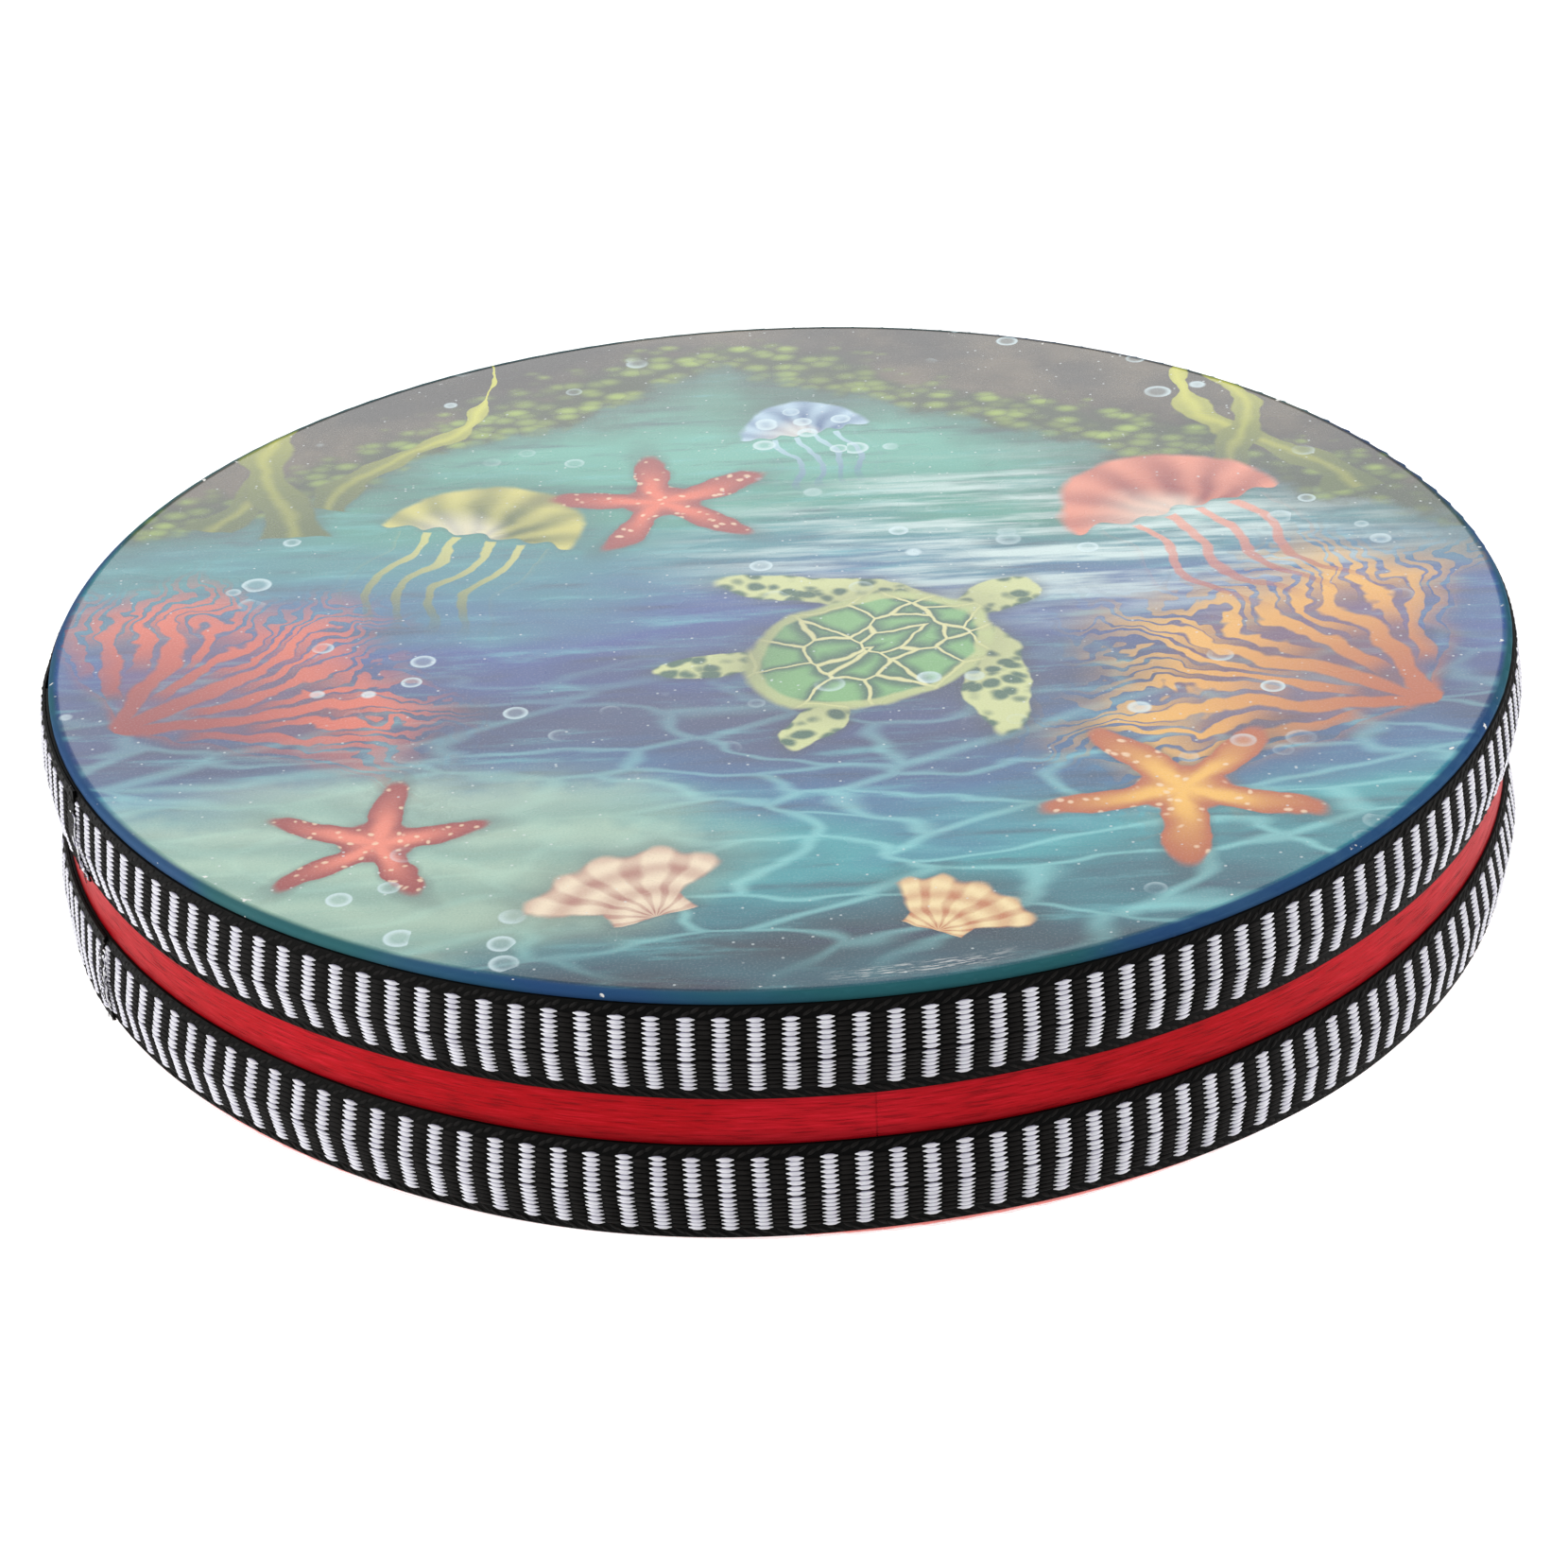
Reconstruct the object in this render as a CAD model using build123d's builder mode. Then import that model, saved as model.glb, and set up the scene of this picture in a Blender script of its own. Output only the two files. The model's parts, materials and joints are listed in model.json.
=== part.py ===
from build123d import *
import math
import os

# Ocean drum: a bent wooden hoop closed by a film head on each side. The films turn
# down over the rims and are stapled to the hoop, a webbing band covers each stapled
# edge, and steel beads roll loose on the lower film.
# Millimetres, +Z up, origin at the centre of the underside.

# Wooden hoop
hoop_outer_diameter = 250.0
hoop_wall = 6.0
hoop_height = 43.3
hoop_edge_radius = 0.5
hoop_inner_edge_radius = 1.0
seam_angle = -84.9
seam_width = 0.3
seam_depth = 0.08

# Film heads
film_thickness = 0.3
glue_line = 0.05
skirt_depth = 12.4

# Webbing bands, each set back from its own rim
webbing_width = 16.2
webbing_thickness = 0.8
webbing_edge_radius = 0.3
webbing_ease = 0.35
upper_rim_drop = 1.6
lower_rim_drop = 1.4
lap_angle = 188.0
lap_length = 38.0
lap_press = 0.15

# Staples through each film skirt
staple_count = 32
staple_crown = 10.0
staple_wire = 0.7
staple_leg = 4.0
staple_drop = 10.9

# Steel beads
bead_diameter = 4.0
roll_clearance = 0.3
row_count = 12
row_bead_spacing = 9.0
row_rest_share = 0.62
rim_bead_spacing = 20.0

# Sizes that follow from those above
hoop_radius = hoop_outer_diameter / 2
hoop_inner_radius = hoop_radius - hoop_wall
hoop_bottom = film_thickness + glue_line
hoop_top = hoop_bottom + hoop_height
drum_height = hoop_top + glue_line + film_thickness
skirt_inner_radius = hoop_radius + glue_line
skirt_outer_radius = skirt_inner_radius + film_thickness
crown_inner_radius = skirt_outer_radius + glue_line
crown_corner_radius = math.hypot(crown_inner_radius + staple_wire, staple_crown / 2)
bead_radius = bead_diameter / 2
bead_height = film_thickness + roll_clearance + bead_radius
rim_track_radius = hoop_inner_radius - roll_clearance - bead_radius
row_limit_radius = rim_track_radius - bead_diameter - roll_clearance
row_pitch = 2 * row_limit_radius / (row_count + 1)

# Steps of a two-number sequence that spreads points unevenly but never in clumps
spread_x_share = 0.7548776662
spread_y_share = 0.5698402910

# Each head's name, the height of its outer face, the way its skirt runs and its rim drop
HEADS = (
    ("upper", drum_height, -1, upper_rim_drop),
    ("lower", 0.0, 1, lower_rim_drop),
)

os.makedirs("parts", exist_ok=True)


def radial_plane(angle):
    """A plane through the drum's axis: local X runs outward at the angle, local Y runs up."""
    turn = math.radians(angle)
    outward = (math.cos(turn), math.sin(turn), 0)
    return Plane((0, 0, 0), x_dir=outward, z_dir=(math.sin(turn), -math.cos(turn), 0))


def band_outline(face_z, inward, rim_drop, shift):
    """Corners of a band's section, moved outward by the shift.

    It lies on the film at the rim, stands a little off the staple crowns and comes down to the hoop.
    """
    crown_lift = crown_corner_radius + glue_line + webbing_ease
    inner_side = [
        (skirt_outer_radius + glue_line, rim_drop),
        (crown_lift, staple_drop - staple_wire / 2),
        (crown_lift, staple_drop + staple_wire / 2),
        (hoop_radius + glue_line, rim_drop + webbing_width),
    ]
    outer_side = [(radius + webbing_thickness, depth) for radius, depth in reversed(inner_side)]
    return [(radius + shift, face_z + inward * depth) for radius, depth in inner_side + outer_side]


def spread(index, step, room):
    """A bead's offset from the middle of its own place, within the room on either side."""
    return room * (2 * ((index * step) % 1.0) - 1)


def row_beads(row):
    """Bead centres of one row: uneven places along X within the row's own strip."""
    middle_y = (row - (row_count - 1) / 2) * row_pitch
    room_y = row_pitch / 2 - bead_radius - roll_clearance / 2
    half_chord = math.sqrt(row_limit_radius**2 - (abs(middle_y) + room_y) ** 2)
    count = int(2 * row_rest_share * half_chord / row_bead_spacing)
    room_x = row_bead_spacing / 2 - bead_radius - roll_clearance / 2
    centres = []
    for place in range(count):
        index = row * row_count + place + 1
        x = (place - (count - 1) / 2) * row_bead_spacing + spread(index, spread_x_share, room_x)
        y = middle_y + spread(index, spread_y_share, room_y)
        centres.append((x, y, bead_height))
    return centres


def row_travel(centres):
    """How far a row rolls each way before its first bead meets the beads along the hoop."""
    chords = [math.sqrt(row_limit_radius**2 - y**2) for _, y, _ in centres]
    back = min(chord + x for chord, (x, _, _) in zip(chords, centres))
    ahead = min(chord - x for chord, (x, _, _) in zip(chords, centres))
    return -back, ahead


def rim_beads():
    """Bead centres along the hoop's inner wall, at uneven places."""
    count = int(2 * math.pi * rim_track_radius / rim_bead_spacing)
    room = rim_bead_spacing / 2 - bead_radius - roll_clearance
    centres = []
    for place in range(count):
        arc = place * rim_bead_spacing + spread(place, spread_x_share, room)
        turn = arc / rim_track_radius
        x = rim_track_radius * math.cos(turn)
        y = rim_track_radius * math.sin(turn)
        centres.append((x, y, bead_height))
    return centres


# Hoop, with the line of its glued butt seam on the outside
with BuildPart() as frame_hoop:
    with BuildSketch(Plane.XZ):
        with Locations((hoop_radius, hoop_bottom)):
            Rectangle(hoop_wall, hoop_height, align=(Align.MAX, Align.MIN))
        by_radius = vertices().group_by(Axis.X)
        fillet(by_radius[-1], hoop_edge_radius)
        fillet(by_radius[0], hoop_inner_edge_radius)
    revolve(axis=Axis.Z)
    with BuildSketch(Plane.XY.offset(hoop_bottom)):
        with PolarLocations(hoop_radius, 1, start_angle=seam_angle):
            Rectangle(2 * seam_depth, seam_width)
    extrude(amount=hoop_height, mode=Mode.SUBTRACT)
frame_hoop.part.label = "frame_hoop"
export_step(frame_hoop.part, "parts/frame_hoop.step")

for side, face_z, inward, rim_drop in HEADS:
    # Film head: a flat disc that turns over the rim into a skirt
    with BuildPart() as head:
        inner_face_z = face_z + inward * film_thickness
        skirt_end_z = face_z + inward * skirt_depth
        with BuildSketch(Plane.XZ):
            with BuildLine():
                Polyline(
                    (0, face_z),
                    (skirt_outer_radius, face_z),
                    (skirt_outer_radius, skirt_end_z),
                    (skirt_inner_radius, skirt_end_z),
                    (skirt_inner_radius, inner_face_z),
                    (0, inner_face_z),
                    close=True,
                )
            make_face()
            outer_corner = vertices().sort_by_distance((skirt_outer_radius, face_z))[0]
            fillet(outer_corner, hoop_edge_radius + glue_line + film_thickness)
            inner_corner = vertices().sort_by_distance((skirt_inner_radius, inner_face_z))[0]
            fillet(inner_corner, hoop_edge_radius + glue_line)
        revolve(axis=Axis.Z)
    head.part.label = f"{side}_head"
    export_step(head.part, f"parts/{side}_head.step")

    # Webbing band: one turn, with its end lapped over its start
    with BuildPart() as band:
        with BuildSketch(Plane.XZ):
            with BuildLine():
                Polyline(*band_outline(face_z, inward, rim_drop, 0.0), close=True)
            make_face()
            fillet(vertices(), webbing_edge_radius)
        revolve(axis=Axis.Z)
        with BuildSketch(radial_plane(lap_angle)):
            with BuildLine():
                lap_shift = webbing_thickness - lap_press
                Polyline(*band_outline(face_z, inward, rim_drop, lap_shift), close=True)
            make_face()
            fillet(vertices(), webbing_edge_radius)
        revolve(axis=Axis.Z, revolution_arc=math.degrees(lap_length / hoop_radius))
    band.part.label = f"{side}_band"
    export_step(band.part, f"parts/{side}_band.step")

    # Staples: straight crowns on the skirt, legs through the film into the wood
    with BuildPart() as staples:
        staple_z = face_z + inward * staple_drop
        with BuildSketch(Plane.XY.offset(staple_z - staple_wire / 2)):
            with PolarLocations(crown_inner_radius, staple_count):
                Rectangle(staple_wire, staple_crown, align=(Align.MIN, Align.CENTER))
                leg_y = (staple_crown - staple_wire) / 2
                with Locations((0, leg_y), (0, -leg_y)):
                    Rectangle(staple_leg, staple_wire, align=(Align.MAX, Align.CENTER))
        extrude(amount=staple_wire)
    staples.part.label = f"{side}_staples"
    export_step(staples.part, f"parts/{side}_staples.step")

# Beads that run round against the hoop
with BuildPart() as bead_ring:
    with Locations(*rim_beads()):
        Sphere(bead_radius)
bead_ring.part.label = "rim_beads"
export_step(bead_ring.part, "parts/rim_beads.step")

# Beads that wash across the head, in side-by-side rows along X
for row in range(row_count):
    row_name = f"bead_row_{row + 1:02d}"
    centres = row_beads(row)
    with BuildPart() as bead_row:
        with Locations(*centres):
            Sphere(bead_radius)
    bead_row.part.label = row_name
    export_step(bead_row.part, f"parts/{row_name}.step")
    back, ahead = row_travel(centres)
    print(f"{row_name}: {len(centres)} beads, rolls {back:.3f} to {ahead:.3f} mm along X")
print(f"rim_beads: {len(rim_beads())} beads")
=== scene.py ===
"""Looks of an ocean drum, built on its packed CAD frame.

Lengths are in metres, +Z is up and the photo looks along +Y.
"""

import json
import logging
import math
from dataclasses import dataclass
from enum import Enum
from typing import Callable, Sequence, Union

import bpy
import numpy as np
from bpy.types import Material, NodeSocket, Object, ShaderNode
from mathutils import Matrix, Vector


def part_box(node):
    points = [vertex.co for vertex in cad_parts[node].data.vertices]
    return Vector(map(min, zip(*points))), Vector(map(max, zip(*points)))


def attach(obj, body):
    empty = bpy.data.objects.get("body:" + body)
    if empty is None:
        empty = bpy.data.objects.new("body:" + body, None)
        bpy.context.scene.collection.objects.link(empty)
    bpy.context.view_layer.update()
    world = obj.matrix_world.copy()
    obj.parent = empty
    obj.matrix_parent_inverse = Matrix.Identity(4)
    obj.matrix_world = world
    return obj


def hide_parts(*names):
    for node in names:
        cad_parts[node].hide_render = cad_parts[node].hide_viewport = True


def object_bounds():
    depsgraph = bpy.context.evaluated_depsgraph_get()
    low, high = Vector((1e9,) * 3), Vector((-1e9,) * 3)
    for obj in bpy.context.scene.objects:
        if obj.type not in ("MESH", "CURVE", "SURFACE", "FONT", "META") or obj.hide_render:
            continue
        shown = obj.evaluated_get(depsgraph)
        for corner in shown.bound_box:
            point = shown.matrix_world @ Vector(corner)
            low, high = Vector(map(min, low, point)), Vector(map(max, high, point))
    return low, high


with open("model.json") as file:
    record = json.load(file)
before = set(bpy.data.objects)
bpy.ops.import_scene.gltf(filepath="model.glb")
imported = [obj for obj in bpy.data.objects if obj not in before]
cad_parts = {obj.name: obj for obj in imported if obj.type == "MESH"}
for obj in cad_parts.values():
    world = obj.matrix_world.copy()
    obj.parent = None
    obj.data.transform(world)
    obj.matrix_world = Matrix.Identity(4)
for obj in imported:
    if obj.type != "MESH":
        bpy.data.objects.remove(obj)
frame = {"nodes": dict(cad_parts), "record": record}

CAD_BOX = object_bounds()
MM = 0.001
IMAGE_SIDE = 1659
LOG = logging.getLogger("ocean_drum")

Triple = tuple[float, float, float]
Colour = tuple[float, float, float, float]
Term = Union["Wire", float, Colour]
WHITE: Colour = (1.0, 1.0, 1.0, 1.0)


def ink(*parts: int) -> Colour:
    """Turns a printer's colour into the linear one that a shader takes.

    Args:
        parts: Red, green and blue, from 0 to 255.

    Returns:
        The linear colour, opaque.
    """
    shares = (part / 255 for part in parts)
    red, green, blue = (
        share / 12.92 if share <= 0.04045 else ((share + 0.055) / 1.055) ** 2.4 for share in shares
    )
    return (red, green, blue, 1.0)


# Node formulas


def formula(operation: str, doc: str, swapped: bool = False) -> Callable[..., "Wire"]:
    """Makes a method of Wire that adds a Math node.

    Args:
        operation: The node's operation.
        doc: What the method gives.
        swapped: Whether the other term goes first.

    Returns:
        The method.
    """

    def method(wire: "Wire", *others: Term) -> "Wire":
        """Adds the node."""
        terms = (*others, wire) if swapped else (wire, *others)
        return wire.board.add("Math", *terms, operation=operation)

    method.__doc__ = doc
    return method


class Wire:
    """An output of a material node, written in sums like a number."""

    __add__ = __radd__ = formula("ADD", "This plus the other.")
    __sub__ = formula("SUBTRACT", "This less the other.")
    __rsub__ = formula("SUBTRACT", "The other less this.", swapped=True)
    __mul__ = __rmul__ = formula("MULTIPLY", "This times the other.")
    __truediv__ = formula("DIVIDE", "This over the other.")
    __rtruediv__ = formula("DIVIDE", "The other over this.", swapped=True)
    __pow__ = formula("POWER", "This to the power of the other.")
    sin = formula("SINE", "Its sine.")
    cos = formula("COSINE", "Its cosine.")
    size = formula("ABSOLUTE", "Its distance from zero.")
    root = formula("SQRT", "Its square root.")
    part = formula("FRACT", "What it has over the whole number below it.")
    least = formula("MINIMUM", "The smaller of this and the other.")
    most = formula("MAXIMUM", "The larger of this and the other.")
    angle = formula("ARCTAN2", "The angle whose tangent is this over the other.")

    def __init__(self, board: "Board", socket: NodeSocket) -> None:
        """Holds the board that the node is on and its output socket."""
        self.board = board
        self.socket = socket

    def rise(self, low: float, high: float) -> "Wire":
        """A soft step from 0 at low to 1 at high."""
        return self.board.step(self, low, high, 0.0, 1.0)

    def fall(self, low: float, high: float) -> "Wire":
        """A soft step from 1 at low to 0 at high."""
        return self.board.step(self, low, high, 1.0, 0.0)


class Board:
    """The node tree of one material."""

    def __init__(self, name: str) -> None:
        """Starts a material with one shader wired to its surface.

        Args:
            name: The material's name.
        """
        self.material = bpy.data.materials.new(name)
        self.material.use_nodes = True
        self.tree = self.material.node_tree
        self.tree.nodes.clear()
        self.shader = self.node("BsdfPrincipled")
        self.output = self.node("OutputMaterial", Surface=Wire(self, self.shader.outputs[0]))

    def feed(self, socket: NodeSocket, value: Term) -> None:
        """Sets an input to a number or colour, or wires it.

        Args:
            socket: The input socket.
            value: A wire, a number or a colour.
        """
        if isinstance(value, Wire):
            self.tree.links.new(value.socket, socket)
        else:
            socket.default_value = value

    def set(self, **values: Term) -> None:
        """Feeds the shader's inputs by name, with _ for a space."""
        for key, value in values.items():
            self.feed(self.shader.inputs[key.replace("_", " ")], value)

    def node(self, kind: str, *values: Term, **named: object) -> ShaderNode:
        """Adds a node.

        Args:
            kind: The node's type name, after ShaderNode.
            values: What goes into its inputs, in order.
            named: Its properties, in small letters, and inputs by name.

        Returns:
            The new node.
        """
        made = self.tree.nodes.new(f"ShaderNode{kind}")
        for key, value in named.items():
            if key.islower():
                setattr(made, key, value)
            else:
                self.feed(made.inputs[key], value)
        for socket, value in zip(made.inputs, values):
            self.feed(socket, value)
        return made

    def add(self, kind: str, *values: Term, out: Union[int, str] = 0, **named: object) -> Wire:
        """Adds a node, as node does, and gives one of its outputs."""
        return Wire(self, self.node(kind, *values, **named).outputs[out])

    def step(self, value: Term, low: float, high: float, first: float, last: float) -> Wire:
        """A soft step from the first level, where a value is low, to the last, where it is high."""
        return self.add("MapRange", value, low, high, first, last, interpolation_type="SMOOTHSTEP")

    def mix(self, under: Term, over: Term, share: Term) -> Wire:
        """Lays one colour over another.

        Args:
            under: The colour below.
            over: The colour above.
            share: How much of it covers, from 0 to 1.

        Returns:
            The mixed colour.
        """
        made = self.node("Mix", data_type="RGBA", blend_type="MIX")
        for place, term in ((0, share), (6, under), (7, over)):
            self.feed(made.inputs[place], term)
        return Wire(self, made.outputs[2])

    def vector(self, x: Term, y: Term, z: Term = 0.0) -> Wire:
        """Joins three numbers into a place."""
        return self.add("CombineXYZ", x, y, z)

    def place(self, kind: str = "Object") -> tuple[Wire, Wire, Wire]:
        """Splits a texture coordinate into its x, y and z."""
        split = self.node("SeparateXYZ", self.add("TexCoord", out=kind))
        return tuple(Wire(self, socket) for socket in split.outputs)

    def noise(self, place: Wire, scale: float, detail: float = 2.0, rough: float = 0.5) -> Wire:
        """Cloudy noise from 0 to 1, with finer layers for detail that fade as rough gets smaller."""
        return self.add("TexNoise", out="Fac", Vector=place, Scale=scale, Detail=detail, Roughness=rough)

    def cells(self, place: Wire, scale: float) -> tuple[Wire, Wire]:
        """Cells round scattered points: the distance from the point, and a number for each cell."""
        made = self.node("TexVoronoi", feature="F1", Vector=place, Scale=scale).outputs
        return Wire(self, made["Distance"]), self.add("SeparateColor", Wire(self, made["Color"]))

    def seams(self, place: Wire, scale: float) -> Wire:
        """The distance from the seams between such cells."""
        return self.add("TexVoronoi", out="Distance", feature="DISTANCE_TO_EDGE", Vector=place, Scale=scale)

    def ramp(self, value: Wire, stops: Sequence[tuple[float, Colour]]) -> Wire:
        """A run of colours.

        Args:
            value: What is followed, from 0 to 1.
            stops: Places along it and their colours, in order.

        Returns:
            The colour there.
        """
        made = self.node("ValToRGB", value)
        marks = made.color_ramp.elements
        while len(marks) < len(stops):
            marks.new(1.0)
        for mark, (place, colour) in zip(marks, stops):
            mark.position = place
            mark.color = colour
        return Wire(self, made.outputs[0])

    def bump(self, height: Wire, depth: float, strength: float) -> None:
        """Roughens the shader's surface with a relief from 0 to 1, of some depth and strength."""
        self.set(Normal=self.add("Bump", Height=height, Distance=depth, Strength=strength))


def span(across: Wire, up: Wire) -> Wire:
    """The distance that two sides at a right angle give."""
    return (across * across + up * up).root()


def turned(across: Wire, up: Wire, oval: Sequence[float]) -> tuple[Wire, Wire]:
    """Coordinates in an oval's own frame.

    Args:
        across: The coordinate across.
        up: The coordinate up.
        oval: Its middle across and up, its half width and height, and its turn in degrees.

    Returns:
        Across and up, 1 where the oval ends.
    """
    x, y, wide, tall, turn = oval
    c, s = math.cos(math.radians(turn)), math.sin(math.radians(turn))
    across, up = across - x, up - y
    return across * (c / wide) + up * (s / wide), up * (c / tall) - across * (s / tall)


# Finishes


@dataclass(frozen=True)
class PaintedWood:
    """Semi-gloss red paint on bent plywood, with the grain showing through."""

    colour: Colour = ink(164, 2, 15)
    grain_and_shade: Colour = ink(92, 0, 6)
    bloom: Colour = ink(206, 26, 46)
    edge_highlight: Colour = ink(255, 112, 98)
    grain_run: float = 16.0
    # foot and foot_fade: where the painted shade above the lower band starts and how far up it fades.
    foot: float = 17.4 * MM
    foot_fade: float = 3.0 * MM
    edge_highlight_span: tuple[float, float] = (1.4 * MM, 2.4 * MM)
    outer_face: tuple[float, float] = (122.8 * MM, 124.2 * MM)

    def make(self) -> Material:
        """Builds the material, with grain lines that run round the hoop.

        It is darker above the lower band, and its lower outer edge is pale.

        Returns:
            The material.
        """
        board = Board("red_painted_wood")
        x, y, z = board.place()
        along = board.vector(x, y, z * self.grain_run)
        fine = board.noise(along, 170.0, 3.0, 0.6)
        broad = board.noise(along, 36.0, 2.0)
        clouds = board.noise(board.vector(x, y, z), 28.0, 3.0)
        light = clouds.rise(0.45, 0.75) * 0.3 + fine.fall(0.3, 0.48) * 0.4
        dark = fine.rise(0.5, 0.68) * 0.55 + broad.rise(0.55, 0.75) * 0.25
        colour = board.mix(board.mix(self.colour, self.bloom, light), self.grain_and_shade, dark)
        # Painted shade: the paint is darkened just above the lower band, where the band shades the hoop.
        colour = board.mix(colour, self.grain_and_shade, z.fall(self.foot, self.foot + self.foot_fade) * 0.6)
        # Painted highlight: the lower outer edge is painted pale salmon, standing in for floor light on it.
        outside = span(x, y).rise(*self.outer_face)
        colour = board.mix(colour, self.edge_highlight, z.fall(*self.edge_highlight_span) * outside)
        board.set(Base_Color=colour, Roughness=fine * 0.2 + 0.34, Specular_IOR_Level=0.07)
        board.bump(fine.fall(0.5, 0.75), 0.1 * MM, 0.5)
        return board.material


@dataclass(frozen=True)
class ClearFilm:
    """Clear polyester film that the beads show through."""

    tint: Colour = (0.86, 0.9, 0.92, 1.0)
    body_share: float = 0.13
    skirt_share: float = 0.06
    turn_up: tuple[float, float] = (0.1 * MM, 0.5 * MM)

    def make(self) -> Material:
        """Builds the material: mostly see-through, milky and shiny at a slant.

        Returns:
            The material.
        """
        board = Board("clear_film")
        x, y, z = board.place()
        dust = board.noise(board.vector(x, y, z), 700.0, 3.0)
        board.set(Base_Color=self.tint, Roughness=dust * 0.12 + 0.08, IOR=1.57)
        clear, film = board.add("BsdfTransparent"), Wire(board, board.shader.outputs[0])
        facing = board.add("LayerWeight", out="Facing", Blend=0.35)
        body = board.step(z, *self.turn_up, self.body_share, self.skirt_share)
        share = facing * 0.3 + dust.rise(0.62, 0.8) * 0.06 + body
        board.feed(board.output.inputs["Surface"], board.add("MixShader", share, clear, film))
        return board.material


@dataclass(frozen=True)
class Yarn:
    """Shiny filament yarn, dyed one colour and a little uneven."""

    name: str
    colour: Colour
    # shade: the tone for lines and patches, and the painted light and shade along each float's middle.
    shade: Colour
    flank_shade: Colour
    roughness: float
    sheen: float
    gleam: float = 0.5
    density: float = 1.5
    filaments: float = 14.0

    def make(self) -> Material:
        """Builds the material: fine filament lines run along each float, and its flanks lie in shade.

        Returns:
            The material.
        """
        board = Board(self.name)
        x, y, z = board.place()
        u, v, _ = board.place("UV")
        lines = (u * (self.filaments * 2 * math.pi) + v * 3.0).sin() * 0.5 + 0.5
        patches = board.noise(board.vector(x, y, z), 420.0, 2.0)
        # Painted light and shade: each float's middle takes the shade colour, darker on white yarn and
        # lighter on black.
        middle = (v - 0.5).size().fall(0.1, 0.4)
        texture_and_painted_light = lines * 0.1 + patches.rise(0.45, 0.7) * 0.2 + middle * 0.45
        colour = board.mix(self.colour, self.shade, texture_and_painted_light)
        # Painted shade on each float's flanks, where neighbouring floats meet.
        turn = (u * (2 * math.pi)).sin()
        colour = board.mix(colour, self.flank_shade, (turn * turn).rise(0.45, 1.0) * 0.8)
        board.set(Base_Color=colour, Roughness=patches * 0.15 + self.roughness, IOR=self.density)
        board.set(Sheen_Weight=self.sheen, Sheen_Roughness=0.4, Specular_IOR_Level=self.gleam)
        board.bump(lines, 0.03 * MM, 0.5)
        return board.material


@dataclass(frozen=True)
class Steel:
    """Bare steel, polished or drawn, with faint marks."""

    name: str
    colour: Colour
    stain: Colour
    roughness: float
    fineness: float

    def make(self) -> Material:
        """Builds the material: a metal with cloudy wear.

        Returns:
            The material.
        """
        board = Board(self.name)
        x, y, z = board.place()
        wear = board.noise(board.vector(x, y, z), self.fineness, 4.0, 0.6)
        board.set(Base_Color=board.mix(self.colour, self.stain, wear.rise(0.5, 0.8)), Metallic=1.0)
        board.set(Roughness=wear * 0.2 + self.roughness)
        return board.material


@dataclass(frozen=True)
class Spot:
    """A motif's place on the head, as shares of its radius, its turn in degrees and its two colours."""

    x: float
    y: float
    size: float
    turn: float
    dark: Colour
    light: Colour


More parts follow.
